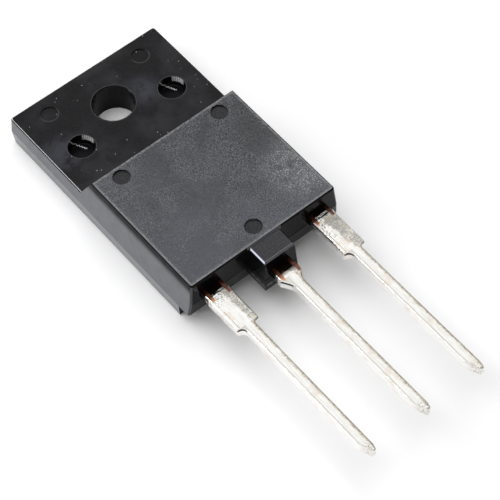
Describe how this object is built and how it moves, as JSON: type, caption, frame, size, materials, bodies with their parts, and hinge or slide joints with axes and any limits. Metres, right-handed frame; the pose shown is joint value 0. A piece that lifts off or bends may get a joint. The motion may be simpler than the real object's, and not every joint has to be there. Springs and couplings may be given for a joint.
{
  "type": "power transistor",
  "caption": "Fully moulded three-lead power transistor with a screw hole in its tab and long straight tinned leads.",
  "frame": {"origin": "screw hole's axis at the back face that seats on a heat sink", "axes": "+Y towards the tab's end, the leads run to -Y, +Z out of the marked side"},
  "size_m": [0.0154, 0.0437, 0.0055],
  "materials": {
    "epoxy": "moulded",
    "tinned_copper": "tin plated",
    "silicon": "polished",
    "solder": "satin",
    "aluminium_wire": "satin"
  },
  "bodies": {
    "root": {"moulded_body": "epoxy", "collector_frame": "tinned_copper", "base_lead": "tinned_copper", "emitter_lead": "tinned_copper", "transistor_chip": "silicon", "die_attach_solder": "solder", "base_bond_wire": "aluminium_wire", "emitter_bond_wire": "aluminium_wire"}
  },
  "joints": []
}
